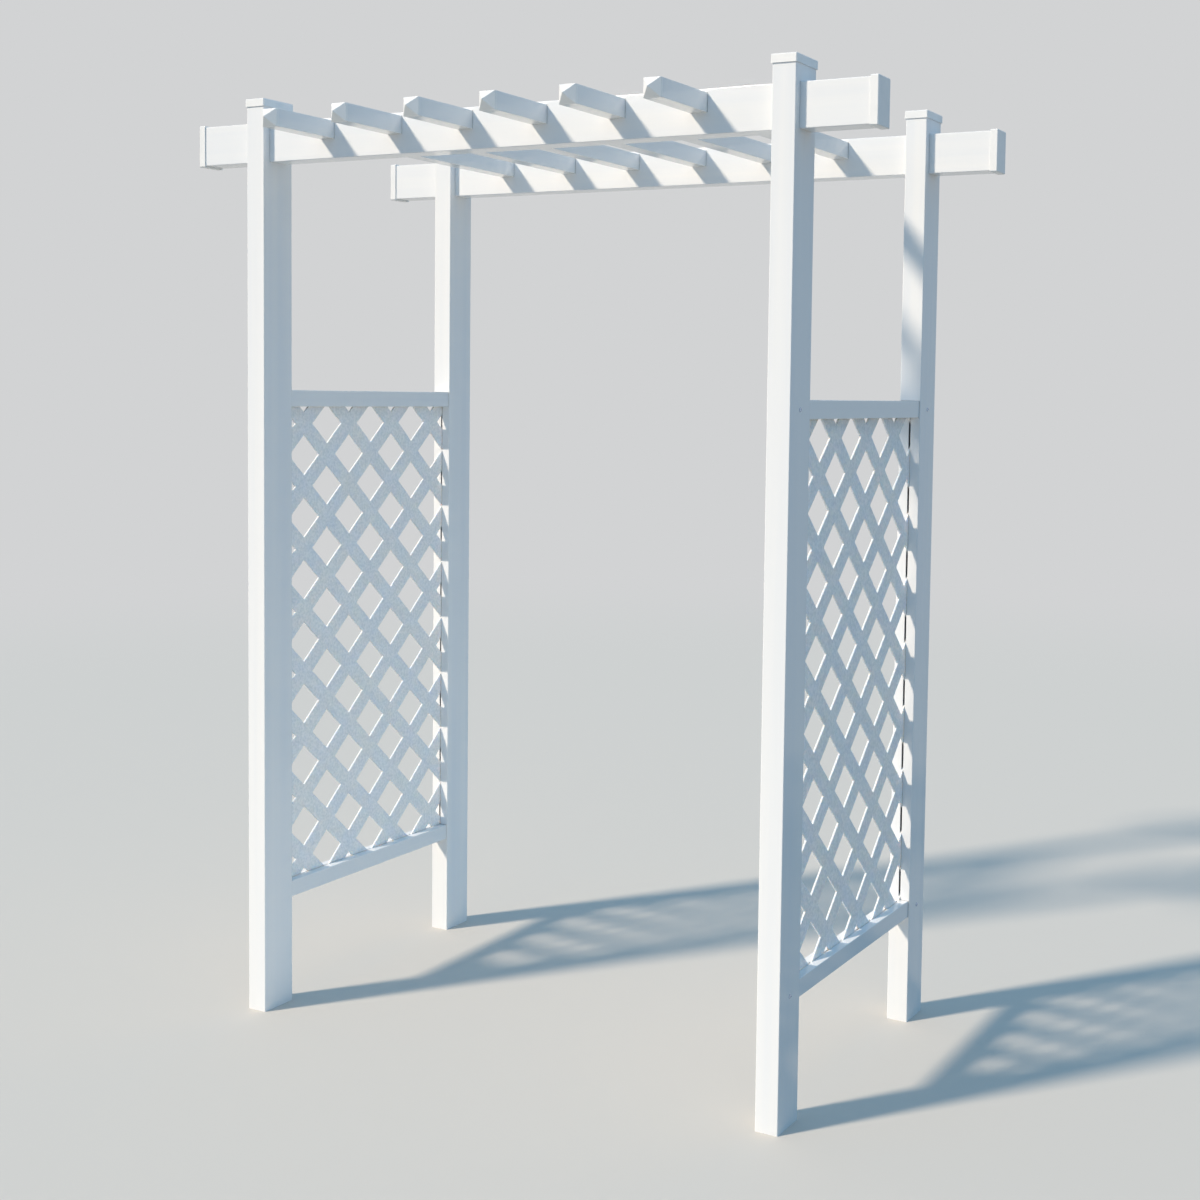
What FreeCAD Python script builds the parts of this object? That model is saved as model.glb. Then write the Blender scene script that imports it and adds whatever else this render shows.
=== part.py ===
import FreeCAD, Part
import math
import os

# A free-standing vinyl garden arbor: four posts, two beams that pass through them, six rafters that
# pass through the beams, and a lattice panel on each side. X runs across the walkway, Y from front to
# back and Z up. The origin is on the ground in the middle of the arbor. Sizes are in millimetres.

# Places of the posts
walkway_width = 1282.7
side_gap = 584.2
post_length = 2098.0

# Post profile, a hollow extrusion with its narrow side to the front
post_width = 50.8
post_depth = 88.9
post_wall = 2.4
post_corner = 2.0

# Beam profile and its place in the posts
beam_thickness = 50.8
beam_height = 88.9
beam_wall = 2.4
beam_corner = 2.0
beam_drop = 48.0
beam_overhang = 160.0

# Rafters, square pickets set evenly between the posts
rafter_count = 6
rafter_size = 38.1
rafter_wall = 1.8
rafter_corner = 1.2
rafter_drop = 8.0
rafter_overhang = 171.0

# Flat moulded caps of the posts and the beam ends
cap_plate = 3.2
cap_skirt = 14.0
cap_wall = 2.4
cap_edge = 1.6
cap_corner = 3.2

# Pyramid plug caps of the rafter ends
pyramid_lip = 7.0
pyramid_height = 18.0
plug_length = 18.0
plug_wall = 1.8

# Rails of the side panels, extruded with a groove for the lattice
rail_height = 38.1
rail_wall = 2.0
rail_corner = 1.5
bottom_rail_lift = 248.5
panel_height = 1121.0

# Lattice sheets with diamond openings, whose strips cross the panel's middle height at these shifts
strip_width = 38.1
strip_gap = 69.7
strip_slope = 43.5
lattice_thickness = 4.0
groove_depth = 14.0
lattice_entry = 12.0
left_lattice_shift = 8.0
right_lattice_shift = -38.0

# Pan head screws that hold the rail ends in the posts
screw_head_diameter = 8.4
screw_head_height = 2.8
screw_crown_diameter = 6.4
screw_shank_diameter = 4.2
screw_length = 16.0

# Clearances
routed_clearance = 0.6
rail_side_clearance = 0.8
rail_end_clearance = 24.0
cap_clearance = 0.2
plug_clearance = 0.2
groove_clearance = 0.3
lattice_top_clearance = 4.0
screw_clearance = 0.2

# Places worked out from the sizes above
post_x = (walkway_width + post_width) / 2
post_y = (side_gap + post_depth) / 2
beam_top = post_length - beam_drop
beam_bottom = beam_top - beam_height
beam_length = walkway_width + 2 * post_width + 2 * beam_overhang
rafter_bottom = beam_top - rafter_drop - rafter_size
rafter_length = 2 * (post_y + beam_thickness / 2 + rafter_overhang)
rafter_space = (walkway_width - rafter_count * rafter_size) / (rafter_count + 1)
top_rail_lift = bottom_rail_lift + rail_height + panel_height
rail_width = post_width - 2 * (post_wall + rail_side_clearance)
rail_length = side_gap + 2 * (post_depth - post_wall - rail_end_clearance)
groove_width = lattice_thickness + 2 * groove_clearance
lattice_bottom = bottom_rail_lift + rail_height - groove_depth
lattice_top = top_rail_lift + groove_depth - lattice_top_clearance
lattice_half_width = side_gap / 2 + lattice_entry

# Leg of a flat bevel that touches the round it stands for, as a share of the round's radius
BEVEL_SHARE = 2 - math.sqrt(2)

SIDES = {"left": -1, "right": 1}
ENDS = {"front": -1, "rear": 1}
X_AXIS = FreeCAD.Vector(1, 0, 0)
Y_AXIS = FreeCAD.Vector(0, 1, 0)
Z_AXIS = FreeCAD.Vector(0, 0, 1)


def save(node, shape):
    shape.exportStep(os.path.join("parts", node + ".step"))


def box(low, high):
    """A square-edged block between two opposite corners."""
    size = [top - bottom for bottom, top in zip(low, high)]
    return Part.makeBox(*size, FreeCAD.Vector(*low))


def square_bar(width, depth, length):
    """A solid bar along Z from the XY plane, and its long edges."""
    bar = box((-width / 2, -depth / 2, 0), (width / 2, depth / 2, length))
    return bar, [edge for edge in bar.Edges if edge.BoundBox.ZLength > length / 2]


def prism(width, depth, radius, length):
    """A solid bar along Z with its long edges rounded."""
    bar, long_edges = square_bar(width, depth, length)
    return bar.makeFillet(radius, long_edges)


def bevelled_prism(width, depth, radius, length):
    """A solid bar along Z whose long edges have flat bevels that touch the round of that radius."""
    bar, long_edges = square_bar(width, depth, length)
    return bar.makeChamfer(radius * BEVEL_SHARE, long_edges)


def tube(width, depth, radius, wall, length, form=prism):
    """A hollow extrusion along Z from the XY plane, with rounded long edges unless another form is given."""
    outside = form(width, depth, radius, length)
    inside_x = width / 2 - wall
    inside_y = depth / 2 - wall
    return outside.cut(box((-inside_x, -inside_y, 0), (inside_x, inside_y, length)))


def along_x(shape):
    """Lays a piece that stands along Z so that it runs along X, with its local X turned to -Z."""
    laid = shape.copy()
    laid.Placement = FreeCAD.Placement(FreeCAD.Vector(), FreeCAD.Rotation(Y_AXIS, 90)) * laid.Placement
    return laid


def along_y(shape):
    """Lays a piece that stands along Z so that it runs along Y, with its local Y turned to -Z."""
    laid = shape.copy()
    laid.Placement = FreeCAD.Placement(FreeCAD.Vector(), FreeCAD.Rotation(X_AXIS, -90)) * laid.Placement
    return laid


def moved(shape, x, y, z):
    copy = shape.copy()
    copy.translate(FreeCAD.Vector(x, y, z))
    return copy


def beam_hole():
    """The routed way for a beam through both sides of a post, on whose lower edge the beam sits."""
    half = beam_thickness / 2 + routed_clearance
    return box((-post_width, -half, beam_bottom), (post_width, half, beam_top + routed_clearance))


def rail_hole(lift):
    """The routed way for a rail's end through the inner face of a post that stands at the front."""
    half = rail_width / 2 + routed_clearance
    return box((-half, 0, lift), (half, post_depth, lift + rail_height + routed_clearance))


def lattice_slot():
    """The narrow slot in a post's inner face between its two rail holes, for the lattice's edge."""
    half = groove_width / 2
    return box((-half, 0, bottom_rail_lift), (half, post_depth, top_rail_lift + rail_height))


def screw_heights():
    """The middle heights of the bottom and the top rail."""
    return [lift + rail_height / 2 for lift in (bottom_rail_lift, top_rail_lift)]


def screw_hole(diameter, reach, height):
    """A round hole along X, from a piece's middle out through its +X side."""
    return Part.makeCylinder(diameter / 2, reach, FreeCAD.Vector(0, 0, height), X_AXIS)


def right_front_post():
    """A post about its own axis, with its inner face to +Y and its outer side to +X."""
    post = tube(post_width, post_depth, post_corner, post_wall, post_length)
    cuts = [beam_hole(), lattice_slot(), rail_hole(bottom_rail_lift), rail_hole(top_rail_lift)]
    hole_diameter = screw_shank_diameter + 2 * screw_clearance
    cuts.extend(screw_hole(hole_diameter, post_width, height) for height in screw_heights())
    return post.cut(cuts)


def facing(shape, side, end):
    """Turns a piece made for the right front corner so that it suits another corner."""
    turned = shape
    if side < 0:
        turned = turned.mirror(FreeCAD.Vector(), X_AXIS)
    if end > 0:
        turned = turned.mirror(FreeCAD.Vector(), Y_AXIS)
    return turned


def flat_cap(width, depth, corner):
    """A moulded cap over the end of a profile, whose end is at Z = 0 under the cap's plate."""
    grown = 2 * (cap_wall + cap_clearance)
    height = cap_plate + cap_skirt
    shell = square_bar(width + grown, depth + grown, height)[0]
    rim = [edge for edge in shell.Edges if edge.BoundBox.ZMin > cap_skirt]
    shell = shell.makeChamfer(min(cap_edge, cap_plate), rim)
    shell = shell.common(bevelled_prism(width + grown, depth + grown, cap_corner, height))
    room = 2 * cap_clearance
    socket = bevelled_prism(width + room, depth + room, corner + cap_clearance, cap_skirt)
    return moved(shell.cut(socket), 0, 0, -cap_skirt)


def rafter_centres():
    """The rafters' middle places across the walkway, with equal spaces between them and the posts."""
    pitch = rafter_space + rafter_size
    first = -walkway_width / 2 + rafter_space + rafter_size / 2
    return [first + pitch * number for number in range(rafter_count)]


def beam():
    """A beam along X about its own middle, routed for the rafters, whose lower edges carry them."""
    blank = tube(beam_height, beam_thickness, beam_corner, beam_wall, beam_length)
    bar = moved(along_x(blank), -beam_length / 2, 0, beam_bottom + beam_height / 2)
    half = rafter_size / 2 + routed_clearance
    top = rafter_bottom + rafter_size + routed_clearance
    ways = [box((x - half, -beam_thickness, rafter_bottom), (x + half, beam_thickness, top))
            for x in rafter_centres()]
    return bar.cut(ways)


def rafter():
    """A rafter along Y about the middle of its length, at its height."""
    blank = along_y(tube(rafter_size, rafter_size, rafter_corner, rafter_wall, rafter_length, bevelled_prism))
    return moved(blank, 0, -rafter_length / 2, rafter_bottom + rafter_size / 2)


def pyramid(half, height):
    """A four-sided pyramid on the XY plane."""
    point = Part.makeWedge(-half, 0, -half, 0, 0, half, height, half, 0, 0)
    point.rotate(FreeCAD.Vector(), X_AXIS, 90)
    return point


def square_block(half, z_low, z_high):
    """A square-edged block about the Z axis."""
    return box((-half, -half, z_low), (half, half, z_high))


def pyramid_cap():
    """A plug cap for a rafter's end at Z = 0: a lip as wide as the rafter, a pyramid and a hollow plug."""
    height = pyramid_lip + pyramid_height
    half = rafter_size / 2
    point = moved(pyramid(half, pyramid_height), 0, 0, pyramid_lip)
    crown = square_block(half, 0, pyramid_lip).fuse(point)
    crown = crown.common(bevelled_prism(rafter_size, rafter_size, rafter_corner, height))
    plug_half = half - rafter_wall - plug_clearance
    plug = square_block(plug_half, -plug_length, 0)
    bore = square_block(plug_half - plug_wall, -plug_length, 0)
    hollow = pyramid(plug_half - plug_wall, height - 2 * plug_wall)
    return crown.fuse(plug).cut([bore, hollow]).removeSplitter()


def bottom_rail():
    """A rail along Y about the panel's middle, hollow, with its lattice groove upward."""
    blank = along_y(prism(rail_width, rail_height, rail_corner, rail_length))
    rail = moved(blank, 0, -rail_length / 2, rail_height / 2)
    half = rail_length / 2
    inner = rail_width / 2 - rail_wall
    hollow = box((-inner, -half, rail_wall), (inner, half, rail_height - rail_wall))
    floor = rail_height - groove_depth
    channel_half = groove_width / 2 + rail_wall
    channel = box((-channel_half, -half, floor - rail_wall), (channel_half, half, rail_height))
    groove = box((-groove_width / 2, -half, floor), (groove_width / 2, half, rail_height))
    hole = screw_hole(screw_shank_diameter, rail_width, rail_height / 2)
    holes = [moved(hole, 0, end * post_y, 0) for end in ENDS.values()]
    return rail.cut([hollow.cut(channel), groove] + holes)


def top_rail():
    """The same rail turned over about its length, with its screw holes still to +X."""
    return bottom_rail().mirror(FreeCAD.Vector(0, 0, rail_height / 2), Z_AXIS)


def diamond(y, z):
    """An opening through a lattice sheet, between two strips of each slope."""
    slope = math.radians(strip_slope)
    half_width = strip_gap / 2 / math.sin(slope)
    half_height = strip_gap / 2 / math.cos(slope)
    corners = [(y - half_width, z), (y, z + half_height), (y + half_width, z), (y, z - half_height)]
    points = [FreeCAD.Vector(-lattice_thickness / 2, *corner) for corner in corners]
    outline = Part.makePolygon(points + points[:1])
    return Part.Face(outline).extrude(X_AXIS * lattice_thickness)


def lattice_sheet(shift):
    """A lattice sheet about its middle plane, with staggered rows of openings that its outline trims.

    A scrap that the trimming cuts loose in a corner falls away.
    """
    half = lattice_thickness / 2
    sheet = box((-half, -lattice_half_width, lattice_bottom), (half, lattice_half_width, lattice_top))
    slope = math.radians(strip_slope)
    step_y = (strip_width + strip_gap) / 2 / math.sin(slope)
    step_z = (strip_width + strip_gap) / 2 / math.cos(slope)
    middle_height = bottom_rail_lift + rail_height + panel_height / 2
    columns = math.ceil((lattice_half_width + abs(shift)) / step_y)
    rows = math.ceil((lattice_top - lattice_bottom) / 2 / step_z)
    openings = [diamond(shift + step_y * column, middle_height + step_z * row)
                for row in range(-rows, rows + 1)
                for column in range(-columns, columns + 1)
                if (row + column) % 2 == 1]
    return max(sheet.cut(openings).Solids, key=lambda solid: solid.Volume)


def rail_screw():
    """A pan head screw along X that points to -X, with the underside of its head at X = 0."""
    foot = screw_head_diameter / 2
    crown = screw_crown_diameter / 2
    head = Part.makeCone(foot, crown, screw_head_height, FreeCAD.Vector(), X_AXIS)
    shank = Part.makeCylinder(screw_shank_diameter / 2, screw_length, FreeCAD.Vector(), X_AXIS * -1)
    return head.fuse(shank).removeSplitter()


def build_posts():
    post = right_front_post()
    cap = moved(flat_cap(post_width, post_depth, post_corner), 0, 0, post_length)
    for side_name, side in SIDES.items():
        for end_name, end in ENDS.items():
            place = (side * post_x, end * post_y, 0)
            save(f"post_{end_name}_{side_name}", moved(facing(post, side, end), *place))
            save(f"post_cap_{end_name}_{side_name}", moved(cap, *place))


def build_beams():
    bar = beam()
    cap = along_x(flat_cap(beam_height, beam_thickness, beam_corner))
    cap = moved(cap, beam_length / 2, 0, beam_bottom + beam_height / 2)
    for end_name, end in ENDS.items():
        save(f"beam_{end_name}", moved(bar, 0, end * post_y, 0))
        for side_name, side in SIDES.items():
            save(f"beam_cap_{end_name}_{side_name}", moved(facing(cap, side, -1), 0, end * post_y, 0))


def build_rafters():
    bar = rafter()
    cap = along_y(pyramid_cap())
    cap = moved(cap, 0, rafter_length / 2, rafter_bottom + rafter_size / 2)
    for number, x in enumerate(rafter_centres(), 1):
        save(f"rafter_{number}", moved(bar, x, 0, 0))
        save(f"rafter_cap_rear_{number}", moved(cap, x, 0, 0))
        save(f"rafter_cap_front_{number}", moved(facing(cap, 1, 1), x, 0, 0))


def build_panels():
    rails = {"bottom": (bottom_rail(), bottom_rail_lift), "top": (top_rail(), top_rail_lift)}
    shifts = {"left": left_lattice_shift, "right": right_lattice_shift}
    for side_name, side in SIDES.items():
        for rail_name, (rail, lift) in rails.items():
            save(f"{rail_name}_rail_{side_name}", moved(facing(rail, side, -1), side * post_x, 0, lift))
        save(f"lattice_{side_name}", moved(lattice_sheet(shifts[side_name]), side * post_x, 0, 0))


def build_screws():
    screw = rail_screw()
    screws = []
    for side in SIDES.values():
        for end in ENDS.values():
            for height in screw_heights():
                outer_face = side * (post_x + post_width / 2)
                screws.append(moved(facing(screw, side, -1), outer_face, end * post_y, height))
    save("rail_screws", Part.Compound(screws))


os.makedirs("parts", exist_ok=True)
build_posts()
build_beams()
build_rafters()
build_panels()
build_screws()
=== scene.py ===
import math

import bmesh
import bpy
from mathutils import Matrix, Vector


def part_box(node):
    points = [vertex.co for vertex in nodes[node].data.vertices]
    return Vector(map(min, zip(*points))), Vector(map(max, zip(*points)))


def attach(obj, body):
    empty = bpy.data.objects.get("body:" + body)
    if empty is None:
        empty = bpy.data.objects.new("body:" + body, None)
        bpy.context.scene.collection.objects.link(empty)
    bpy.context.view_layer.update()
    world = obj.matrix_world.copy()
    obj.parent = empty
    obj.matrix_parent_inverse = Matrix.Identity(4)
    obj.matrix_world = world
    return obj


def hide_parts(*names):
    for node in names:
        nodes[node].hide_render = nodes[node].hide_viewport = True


# The looks of a white vinyl garden arbor: clean extruded posts, beams, rafters and rails, moulded caps,
# matte lattice sheets and small steel screws, on a pale floor in soft studio light.

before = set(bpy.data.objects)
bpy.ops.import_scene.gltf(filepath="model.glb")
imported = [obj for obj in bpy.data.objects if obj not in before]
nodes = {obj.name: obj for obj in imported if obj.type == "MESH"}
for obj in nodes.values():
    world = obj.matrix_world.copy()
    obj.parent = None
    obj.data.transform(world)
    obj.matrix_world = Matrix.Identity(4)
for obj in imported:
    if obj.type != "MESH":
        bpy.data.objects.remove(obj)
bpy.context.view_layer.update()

MM = 0.001
IMAGE_SIDE = 1200
SENSOR_WIDTH = 36.0

# Camera at the photograph's viewing angle: place in metres, angles in degrees, lens in pixels
CAMERA_PLACE = (2.0746, -3.1977, 1.4571)
CAMERA_AZIMUTH = 26.61
CAMERA_PITCH = -3.46
CAMERA_ROLL = 0.98
FOCAL_LENGTH = 1639.3
IMAGE_CENTRE = (775.4, 492.7)

# Key light that falls from the front left, as the rafters' shadows on the beams show, wide in degrees
# so that shadows have soft edges
KEY_TRAVEL = (0.79, 1.0, -0.95)
KEY_STRENGTH = 3.55
KEY_ANGLE = 6.0
KEY_COLOUR = "#FFEDD7"

# Cool fill from all round, from the horizon to overhead
FILL_STRENGTH = 0.79
FILL_LOW = "#83B0D6"
FILL_HIGH = "#A6D1F2"

# Colours of the floor and the backdrop as they are seen
FLOOR_SEEN = "#D4CFC8"
BACKDROP_COLOUR = "#D2D3D4"

# Colours in which the floor throws light back, in the middle and at both sides, and where one fades into
# the other, in metres from the middle
MIDDLE_BOUNCE = "#E8E3DA"
SIDE_BOUNCE = "#948F86"
BOUNCE_FADE_START = 0.4
BOUNCE_FADE_END = 0.9

# Floor disc, and where it fades into the backdrop, in metres
FLOOR_RADIUS = 40.0
FLOOR_FADE_START = 4.5
FLOOR_FADE_END = 9.0
FLOOR_SIDES = 96

# Sockets of a mix node that hold its two colours and the mixed one
COLOUR_A = 6
COLOUR_B = 7
MIXED = 2

# Painted shade with a trace of dirt in the joints, darker where a place is closed in: how far it reaches out
# of them in metres, and how open a place is where the painted shade and dirt are full or gone
JOINT_SHADE_AND_DIRT = "#E0DED8"
JOINT_REACH = 0.0025
# Painted shade and beige dirt where the lattice meets the rails and posts
RAIL_SHADE_AND_DIRT = "#D2BF9C"
RAIL_REACH = 0.010
SHADE_AND_DIRT_FULL = 0.15
SHADE_AND_DIRT_GONE = 0.65
SHADE_AND_DIRT_SAMPLES = 6

# Noise values that a pattern is spread between, and how fine its detail is
NOISE_LOW = 0.3
NOISE_HIGH = 0.7
CLOUD_DETAIL = 3.0
GRAIN_DETAIL = 2.0
WAVE_DETAIL = 1.0

PVC_IOR = 1.53
BUMP_STRENGTH = 0.5

# Drawn profiles, in millimetres along and across them. Die lines are about 1 mm apart and are drawn 5 mm
# apart, so that they show. Bands of tone are many times as long as they are wide.
DIE_LINE_SIZE = (900, 5)
DIE_LINE_DEPTH = 0.03
WALL_WAVE_SIZE = (420, 60)
WALL_WAVE_DEPTH = 0.9
BAND_WIDTH = 34
BAND_STRETCH = 50
PROFILE_SHEEN = (0.05, 0.10)
PROFILE_TONES = ("#F5F6F6", "#EEF1F4")

# Moulded caps, in millimetres. The grain is about 0.5 mm and is drawn at 2.5 mm, so that it shows.
CAP_GRAIN_SIZE = 2.5
CAP_GRAIN_DEPTH = 0.06
CAP_SHEEN_SIZE = 30
CAP_SHEEN = (0.3, 0.42)
CAP_TONE_SIZE = 40
CAP_TONES = ("#F5F6F6", "#EFF1F1")

# Lattice sheets, in millimetres. The pebbles are under 1 mm and are drawn at 5 mm, so that they show.
PEBBLE_SIZE = 5
PEBBLE_DEPTH = 0.35
PEBBLE_STRENGTH = 0.7
LATTICE_SHEEN_SIZE = 3
LATTICE_SHEEN = (0.5, 0.62)
SPECKLE_SIZE = 6
SPECKLE_TONES = ("#FEFEFE", "#E6EAEC")
SLOW_TONE_SIZE = 70
SLOW_TONES = ("#FFFEFB", "#F8FAFF")
GLOW_WEIGHT = 0.9
GLOW_SPREAD = (1.0, 0.9, 0.8)
GLOW_DEPTH = 4

# Tumbled steel of the screws, in millimetres
TUMBLE_MARK_SIZE = 0.6
TUMBLE_MARK_DEPTH = 0.02
STEEL_SHEEN_SIZE = 1.5
STEEL_SHEEN = (0.18, 0.32)
# Steel colour with a painted blue cast that stands for reflected sky
STEEL_TINTS_WITH_PAINTED_SKY = ("#B8C8DC", "#A2B4CC")

# Pan head of a rail screw, in millimetres, with its upright rim as a share of its height
HEAD_RADIUS = 4.2
HEAD_HEIGHT = 2.8
HEAD_RIM = 0.35
HEAD_SEGMENTS = 40
CROWN_STEPS = 9
SHANK_RADIUS = 2.1
SHANK_LENGTH = 16.0
WELD_DISTANCE = 0.001

# Cross recess, in millimetres, with its deep end as shares of its length and width
RECESS_LENGTH = 4.6
RECESS_WIDTH = 1.1
RECESS_DEPTH = 1.6
RECESS_END_LENGTH = 0.35
RECESS_END_WIDTH = 0.6

# Turn of the screws, from one to the next, and the least angle of their sharp edges, in degrees
FIRST_TURN = 20
TURN_BY_END = 50
TURN_BY_LEVEL = 35
SHARP_ANGLE = 35


def linear(hex_colour):
    """A colour written as sRGB hex, as linear red, green, blue and alpha."""
    parts = [int(hex_colour[place:place + 2], 16) / 255 for place in (1, 3, 5)]
    return [part / 12.92 if part <= 0.04045 else ((part + 0.055) / 1.055) ** 2.4 for part in parts] + [1.0]


def add(tree, kind, inputs=None, **settings):
    """Adds a node with its settings. An input that is another node's output is linked, any other is set."""
    node = tree.nodes.new(kind)
    for name, value in settings.items():
        setattr(node, name, value)
    for key, value in (inputs or {}).items():
        if isinstance(value, bpy.types.NodeSocket):
            tree.links.new(value, node.inputs[key])
        else:
            node.inputs[key].default_value = value
    return node


def per_metre(size_mm):
    """How many times a pattern of that size repeats in a metre."""
    return 1 / (size_mm * MM)


def new_material(name):
    """An empty material, its node tree and the place on the piece that its patterns follow."""
    material = bpy.data.materials.new(name)
    material.use_nodes = True
    tree = material.node_tree
    tree.nodes.clear()
    return material, tree, add(tree, "ShaderNodeTexCoord").outputs["Object"]


def finish_surface(tree, inputs):
    """Puts a surface shader with these inputs on a material."""
    shader = add(tree, "ShaderNodeBsdfPrincipled", inputs)
    add(tree, "ShaderNodeOutputMaterial", {"Surface": shader.outputs["BSDF"]})


def clouded(tree, place, size_mm, low=0.0, high=1.0, detail=CLOUD_DETAIL):
    """A soft noise of that size in millimetres, brought to the range from low to high."""
    noise = add(tree, "ShaderNodeTexNoise", {"Vector": place, "Scale": per_metre(size_mm), "Detail": detail})
    spread = add(tree, "ShaderNodeMapRange", {"Value": noise.outputs["Fac"], "From Min": NOISE_LOW,
                                              "From Max": NOISE_HIGH, "To Min": low, "To Max": high})
    return spread.outputs["Result"]


def drawn_out(tree, place, along, size_mm, detail):
    """A noise drawn out along a profile, of a size in millimetres along and across it."""
    along_mm, across_mm = size_mm
    scale = [per_metre(along_mm if axis == along else across_mm) for axis in "XYZ"]
    stretched = add(tree, "ShaderNodeMapping", {"Vector": place, "Scale": scale}).outputs["Vector"]
    noise = add(tree, "ShaderNodeTexNoise", {"Vector": stretched, "Scale": 1.0, "Detail": detail})
    return noise.outputs["Fac"]


def vinyl_colour(tree, place, tones, tone_mm, shade_and_dirt=JOINT_SHADE_AND_DIRT, reach=JOINT_REACH):
    """White that changes a little from place to place, with painted shade and a trace of dirt in narrow
    joints.
    """
    clean, cloudy = (linear(tone) for tone in tones)
    cloud = clouded(tree, place, tone_mm)
    body = add(tree, "ShaderNodeMix", {"Factor": cloud, COLOUR_A: clean, COLOUR_B: cloudy}, data_type="RGBA")
    # Painted shade with a trace of dirt: the colour darkens where ambient occlusion finds the place closed
    # in
    joints = add(tree, "ShaderNodeAmbientOcclusion", {"Distance": reach}, samples=SHADE_AND_DIRT_SAMPLES)
    open_air = add(tree, "ShaderNodeMapRange", {"Value": joints.outputs["AO"], "From Min": SHADE_AND_DIRT_FULL,
                                                "From Max": SHADE_AND_DIRT_GONE})
    shaded_and_dirty = add(tree, "ShaderNodeMix", {"Factor": open_air.outputs["Result"], COLOUR_A: linear(shade_and_dirt),
                                        COLOUR_B: body.outputs[MIXED]}, data_type="RGBA")
    return shaded_and_dirty.outputs[MIXED]


def extruded_pvc(name, along):
    """Rigid PVC profile drawn through a die and left satin.

    The eye sees a faintly cool white with a soft sheen, straight die lines, and long soft bands along
    the profile, where the wall is not quite flat or even.
    """
    material, tree, place = new_material(name)
    lines = drawn_out(tree, place, along, DIE_LINE_SIZE, GRAIN_DETAIL)
    waves = drawn_out(tree, place, along, WALL_WAVE_SIZE, WAVE_DETAIL)
    wall = add(tree, "ShaderNodeBump", {"Height": waves, "Distance": WALL_WAVE_DEPTH * MM,
                                        "Strength": BUMP_STRENGTH})
    skin = add(tree, "ShaderNodeBump", {"Height": lines, "Distance": DIE_LINE_DEPTH * MM,
                                        "Strength": BUMP_STRENGTH, "Normal": wall.outputs["Normal"]})
    low, high = PROFILE_SHEEN
    sheen = add(tree, "ShaderNodeMapRange", {"Value": lines, "To Min": low, "To Max": high})
    band_scale = [1 / BAND_STRETCH if axis == along else 1.0 for axis in "XYZ"]
    band_place = add(tree, "ShaderNodeMapping", {"Vector": place, "Scale": band_scale}).outputs["Vector"]
    colour = vinyl_colour(tree, band_place, PROFILE_TONES, BAND_WIDTH)
    finish_surface(tree, {"Base Color": colour, "Roughness": sheen.outputs["Result"], "IOR": PVC_IOR,
                          "Normal": skin.outputs["Normal"]})
    return material


def moulded_pvc(name):
    """Rigid PVC cap, injection moulded with a fine spark-eroded grain.

    The eye sees a slightly warmer, softer white than the profiles, with a fine grain in place of lines.
    """
    material, tree, place = new_material(name)
    grain = clouded(tree, place, CAP_GRAIN_SIZE, detail=GRAIN_DETAIL)
    skin = add(tree, "ShaderNodeBump", {"Height": grain, "Distance": CAP_GRAIN_DEPTH * MM,
                                        "Strength": BUMP_STRENGTH})
    sheen = clouded(tree, place, CAP_SHEEN_SIZE, *CAP_SHEEN)
    colour = vinyl_colour(tree, place, CAP_TONES, CAP_TONE_SIZE)
    finish_surface(tree, {"Base Color": colour, "Roughness": sheen, "IOR": PVC_IOR,
                          "Normal": skin.outputs["Normal"]})
    return material


def lattice_pvc(name):
    """PVC lattice sheet, moulded in one piece with a matte pebbled face.

    The eye sees a duller white than the rails and a fine speckle, with no seam where the strips cross. The
    thin sheet lets a little sun through, so its shaded side glows.
    """
    material, tree, place = new_material(name)
    pebbles = clouded(tree, place, PEBBLE_SIZE, detail=GRAIN_DETAIL)
    skin = add(tree, "ShaderNodeBump", {"Height": pebbles, "Distance": PEBBLE_DEPTH * MM,
                                        "Strength": PEBBLE_STRENGTH})
    sheen = clouded(tree, place, LATTICE_SHEEN_SIZE, *LATTICE_SHEEN)
    # Painted shade and beige dirt near the rails and posts that close the sheet in
    speckle = vinyl_colour(tree, place, SPECKLE_TONES, SPECKLE_SIZE, RAIL_SHADE_AND_DIRT, RAIL_REACH)
    warm, cool = (linear(tone) for tone in SLOW_TONES)
    slow = clouded(tree, place, SLOW_TONE_SIZE)
    tone = add(tree, "ShaderNodeMix", {"Factor": slow, COLOUR_A: warm, COLOUR_B: cool}, data_type="RGBA")
    colour = add(tree, "ShaderNodeMix", {"Factor": 1.0, COLOUR_A: speckle, COLOUR_B: tone.outputs[MIXED]},
                 data_type="RGBA", blend_type="MULTIPLY")
    finish_surface(tree, {"Base Color": colour.outputs[MIXED], "Roughness": sheen, "IOR": PVC_IOR,
                          "Normal": skin.outputs["Normal"], "Subsurface Weight": GLOW_WEIGHT,
                          "Subsurface Radius": GLOW_SPREAD, "Subsurface Scale": GLOW_DEPTH * MM})
    return material


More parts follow.
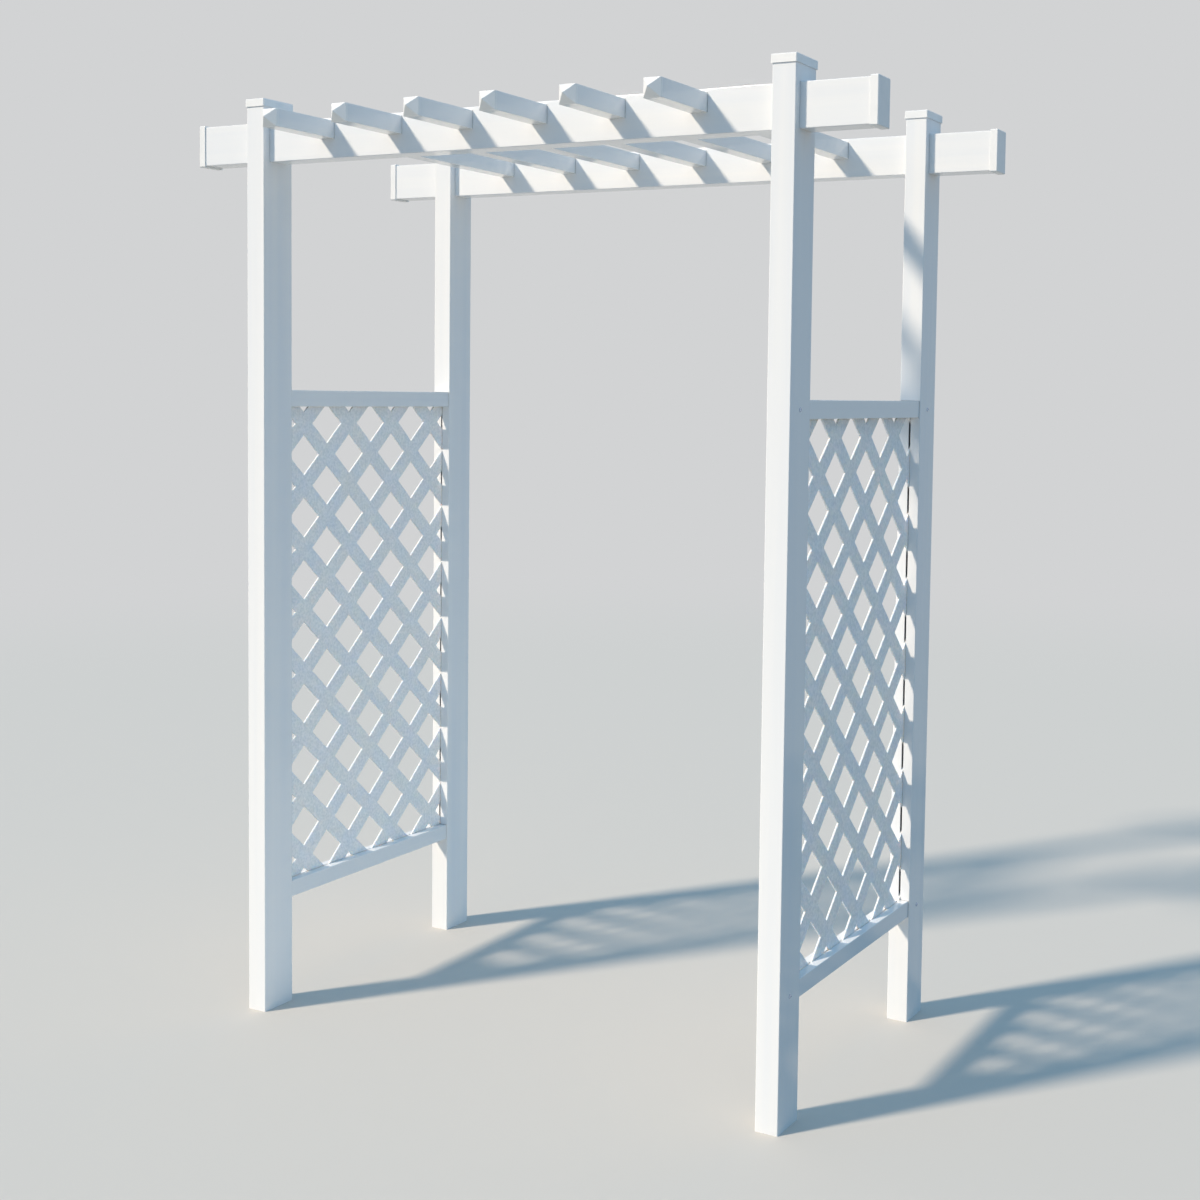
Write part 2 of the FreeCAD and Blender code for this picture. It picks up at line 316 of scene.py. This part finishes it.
def stainless_steel(name):
    """Stainless steel screw, cold headed and tumbled bright.

    The eye sees a small bright dome that mirrors its surroundings, with tumbling marks that blur it. Its
    colour has a painted blue cast that stands for reflected sky.
    """
    material, tree, place = new_material(name)
    marks = clouded(tree, place, TUMBLE_MARK_SIZE)
    skin = add(tree, "ShaderNodeBump", {"Height": marks, "Distance": TUMBLE_MARK_DEPTH * MM,
                                        "Strength": BUMP_STRENGTH})
    sheen = clouded(tree, place, STEEL_SHEEN_SIZE, *STEEL_SHEEN)
    # Steel colour with a painted blue cast that stands for reflected sky, lighter and darker with the
    # tumbling marks
    light, dark = (linear(tint) for tint in STEEL_TINTS_WITH_PAINTED_SKY)
    tint = add(tree, "ShaderNodeMix", {"Factor": marks, COLOUR_A: light, COLOUR_B: dark}, data_type="RGBA")
    finish_surface(tree, {"Base Color": tint.outputs[MIXED], "Metallic": 1.0, "Roughness": sheen,
                          "Normal": skin.outputs["Normal"]})
    return material


def dress(node, material):
    """Gives a CAD node its material."""
    slots = nodes[node].data.materials
    slots.clear()
    slots.append(material)


def dress_nodes():
    """Materials of all CAD nodes. The plain screws get one too, though a finer set replaces them."""
    profiles = {"post": extruded_pvc("extruded_pvc_upright", "Z"),
                "beam": extruded_pvc("extruded_pvc_across", "X"),
                "rail": extruded_pvc("extruded_pvc_front_to_back", "Y")}
    caps = moulded_pvc("moulded_pvc_cap")
    sheet = lattice_pvc("lattice_pvc_sheet")
    for node in nodes:
        words = node.split("_")
        if "cap" in words:
            dress(node, caps)
        elif "lattice" in words:
            dress(node, sheet)
        elif "post" in words:
            dress(node, profiles["post"])
        elif "beam" in words:
            dress(node, profiles["beam"])
        else:
            dress(node, profiles["rail"])


def mesh_object(name, mesh):
    """A new object in the scene with that mesh."""
    made = bpy.data.objects.new(name, mesh)
    bpy.context.scene.collection.objects.link(made)
    return made


def mesh_from(form, name):
    """A mesh from a form, which is freed."""
    mesh = bpy.data.meshes.new(name)
    form.to_mesh(mesh)
    form.free()
    return mesh


def revolved(profile, segments):
    """A closed form turned about the Z axis from (radius, height) points that start and end on the axis."""
    form = bmesh.new()
    points = [form.verts.new((radius, 0, height)) for radius, height in profile]
    edges = [form.edges.new(pair) for pair in zip(points, points[1:])]
    bmesh.ops.spin(form, geom=points + edges, axis=(0, 0, 1), cent=(0, 0, 0), steps=segments,
                   angle=math.tau, use_duplicate=False)
    bmesh.ops.remove_doubles(form, verts=form.verts, dist=WELD_DISTANCE * MM)
    bmesh.ops.recalc_face_normals(form, faces=form.faces)
    return form


def screw_form():
    """A pan head screw that points down, with the underside of its head at the origin."""
    shank = [(0, -SHANK_LENGTH), (SHANK_RADIUS, -SHANK_LENGTH + SHANK_RADIUS), (SHANK_RADIUS, 0)]
    turns = [math.pi / 2 * step / CROWN_STEPS for step in range(CROWN_STEPS)]
    crown = [(HEAD_RADIUS * math.cos(turn), HEAD_HEIGHT * (HEAD_RIM + (1 - HEAD_RIM) * math.sin(turn)))
             for turn in turns]
    profile = shank + [(HEAD_RADIUS, 0)] + crown + [(0, HEAD_HEIGHT)]
    return revolved([(radius * MM, height * MM) for radius, height in profile], HEAD_SEGMENTS)


def recess_form():
    """The cross recess as a cutter: two crossed blades that narrow towards their deep ends."""
    form = bmesh.new()
    for turn in (0, math.pi / 2):
        blade = bmesh.ops.create_cube(form, size=1)["verts"]
        for point in blade:
            deep = point.co.z < 0
            half_length = RECESS_LENGTH / 2 * (RECESS_END_LENGTH if deep else 1.0)
            half_width = RECESS_WIDTH / 2 * (RECESS_END_WIDTH if deep else 1.0)
            height = HEAD_HEIGHT - RECESS_DEPTH if deep else HEAD_HEIGHT + RECESS_DEPTH
            point.co = Vector((math.copysign(half_length, point.co.x), math.copysign(half_width, point.co.y),
                               height)) * MM
        bmesh.ops.rotate(form, verts=blade, cent=(0, 0, 0), matrix=Matrix.Rotation(turn, 3, "Z"))
    return form


def screw_mesh():
    """One screw with its cross recess cut."""
    screw = mesh_object("screw_blank", mesh_from(screw_form(), "screw_blank"))
    cutter = mesh_object("screw_recess", mesh_from(recess_form(), "screw_recess"))
    cut = screw.modifiers.new("recess", "BOOLEAN")
    cut.operation = "DIFFERENCE"
    cut.solver = "EXACT"
    cut.use_self = True
    cut.object = cutter
    evaluated = screw.evaluated_get(bpy.context.evaluated_depsgraph_get())
    mesh = bpy.data.meshes.new_from_object(evaluated)
    bpy.data.objects.remove(screw)
    bpy.data.objects.remove(cutter)
    return mesh


def rail_screws():
    """The screws through the outer sides of the posts into the rails, each turned a little differently."""
    steel = stainless_steel("stainless_steel_tumbled")
    one = screw_mesh()
    form = bmesh.new()
    for side, outward in (("left", -1), ("right", 1)):
        for number, end in enumerate(("front", "rear")):
            post_low, post_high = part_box(f"post_{end}_{side}")
            for count, level in enumerate(("bottom", "top")):
                rail_low, rail_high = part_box(f"{level}_rail_{side}")
                face = post_high.x if outward > 0 else post_low.x
                place = Vector((face, (post_low.y + post_high.y) / 2, (rail_low.z + rail_high.z) / 2))
                turn = FIRST_TURN + TURN_BY_END * number + TURN_BY_LEVEL * count
                twist = Matrix.Rotation(math.radians(turn), 4, "Z")
                lay = Matrix.Rotation(math.radians(90 * outward), 4, "Y")
                placed = one.copy()
                placed.transform(Matrix.Translation(place) @ lay @ twist)
                form.from_mesh(placed)
                bpy.data.meshes.remove(placed)
    bpy.data.meshes.remove(one)
    screws = mesh_object("rail_screw_set", mesh_from(form, "rail_screw_set"))
    screws.data.materials.append(steel)
    screws.data.set_sharp_from_angle(angle=math.radians(SHARP_ANGLE))
    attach(screws, "root")
    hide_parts("rail_screws")


def seen_rays(tree):
    """One where the camera sees a surface, also in a reflection or through a piece, and zero elsewhere."""
    path = add(tree, "ShaderNodeLightPath")
    seen = add(tree, "ShaderNodeMath", {0: path.outputs["Is Camera Ray"], 1: path.outputs["Is Glossy Ray"]},
               operation="MAXIMUM")
    shown = add(tree, "ShaderNodeMath", {0: seen.outputs[0], 1: path.outputs["Is Transmission Ray"]},
                operation="MAXIMUM")
    return shown.outputs[0]


def lay_floor():
    """A wide pale floor that fades into the backdrop's colour away from the arbor.

    It throws light back mostly from under the arbor, and less from both sides.
    """
    form = bmesh.new()
    bmesh.ops.create_circle(form, cap_ends=True, segments=FLOOR_SIDES, radius=FLOOR_RADIUS)
    floor = mesh_object("studio_floor", mesh_from(form, "studio_floor"))
    material, tree, place = new_material("pale_matte_floor")
    distance = add(tree, "ShaderNodeVectorMath", {0: place}, operation="LENGTH").outputs["Value"]
    across = add(tree, "ShaderNodeSeparateXYZ", {"Vector": place}).outputs["X"]
    aside = add(tree, "ShaderNodeMath", {0: across}, operation="ABSOLUTE").outputs[0]
    shown = seen_rays(tree)
    fade = add(tree, "ShaderNodeMapRange", {"Value": distance, "From Min": FLOOR_FADE_START,
                                            "From Max": FLOOR_FADE_END, "To Max": shown},
               interpolation_type="SMOOTHSTEP")
    dim = add(tree, "ShaderNodeMapRange", {"Value": aside, "From Min": BOUNCE_FADE_START,
                                           "From Max": BOUNCE_FADE_END}, interpolation_type="SMOOTHSTEP")
    bounce = add(tree, "ShaderNodeMix", {"Factor": dim.outputs["Result"], COLOUR_A: linear(MIDDLE_BOUNCE),
                                         COLOUR_B: linear(SIDE_BOUNCE)}, data_type="RGBA")
    shade = add(tree, "ShaderNodeMix", {"Factor": shown, COLOUR_A: bounce.outputs[MIXED],
                                        COLOUR_B: linear(FLOOR_SEEN)}, data_type="RGBA")
    near = add(tree, "ShaderNodeBsdfDiffuse", {"Color": shade.outputs[MIXED]})
    far = add(tree, "ShaderNodeEmission", {"Color": linear(BACKDROP_COLOUR), "Strength": 1.0})
    blend = add(tree, "ShaderNodeMixShader", {0: fade.outputs["Result"], 1: near.outputs["BSDF"],
                                              2: far.outputs["Emission"]})
    add(tree, "ShaderNodeOutputMaterial", {"Surface": blend.outputs["Shader"]})
    floor.data.materials.append(material)


def light_studio():
    """A soft key from the front left, an even cool fill all round and a plain pale backdrop."""
    key_light = bpy.data.lights.new("key", "SUN")
    key_light.energy = KEY_STRENGTH
    key_light.angle = math.radians(KEY_ANGLE)
    key_light.color = linear(KEY_COLOUR)[:3]
    key = bpy.data.objects.new("key", key_light)
    key.rotation_euler = Vector(KEY_TRAVEL).to_track_quat("-Z", "Y").to_euler()
    bpy.context.scene.collection.objects.link(key)

    world = bpy.data.worlds.new("studio")
    bpy.context.scene.world = world
    world.use_nodes = True
    tree = world.node_tree
    tree.nodes.clear()
    direction = add(tree, "ShaderNodeTexCoord").outputs["Generated"]
    height = add(tree, "ShaderNodeSeparateXYZ", {"Vector": direction}).outputs["Z"]
    sky = add(tree, "ShaderNodeMix", {"Factor": height, COLOUR_A: linear(FILL_LOW),
                                      COLOUR_B: linear(FILL_HIGH)}, data_type="RGBA")
    fill = add(tree, "ShaderNodeBackground", {"Color": sky.outputs[MIXED], "Strength": FILL_STRENGTH})
    backdrop = add(tree, "ShaderNodeBackground", {"Color": linear(BACKDROP_COLOUR), "Strength": 1.0})
    mixed = add(tree, "ShaderNodeMixShader", {0: seen_rays(tree), 1: fill.outputs["Background"],
                                              2: backdrop.outputs["Background"]})
    add(tree, "ShaderNodeOutputWorld", {"Surface": mixed.outputs["Shader"]})


def place_camera():
    """The camera's axes from its angles, and its lens and shift from the photograph's frame."""
    azimuth, pitch, roll = (math.radians(angle) for angle in (CAMERA_AZIMUTH, CAMERA_PITCH, CAMERA_ROLL))
    ahead = Vector((-math.sin(azimuth) * math.cos(pitch), math.cos(azimuth) * math.cos(pitch),
                    math.sin(pitch)))
    level = Vector((math.cos(azimuth), math.sin(azimuth), 0))
    upright = level.cross(ahead)
    right = level * math.cos(roll) + upright * math.sin(roll)
    up = upright * math.cos(roll) - level * math.sin(roll)
    lens = bpy.data.cameras.new("camera")
    lens.sensor_width = SENSOR_WIDTH
    lens.lens = SENSOR_WIDTH * FOCAL_LENGTH / IMAGE_SIDE
    lens.shift_x = 0.5 - IMAGE_CENTRE[0] / IMAGE_SIDE
    lens.shift_y = IMAGE_CENTRE[1] / IMAGE_SIDE - 0.5
    camera = bpy.data.objects.new("camera", lens)
    axes = Matrix((right, up, -ahead)).transposed()
    camera.matrix_world = Matrix.Translation(CAMERA_PLACE) @ axes.to_4x4()
    bpy.context.scene.collection.objects.link(camera)
    bpy.context.scene.camera = camera


dress_nodes()
rail_screws()
lay_floor()
light_studio()
place_camera()
bpy.context.scene.view_settings.view_transform = "Standard"
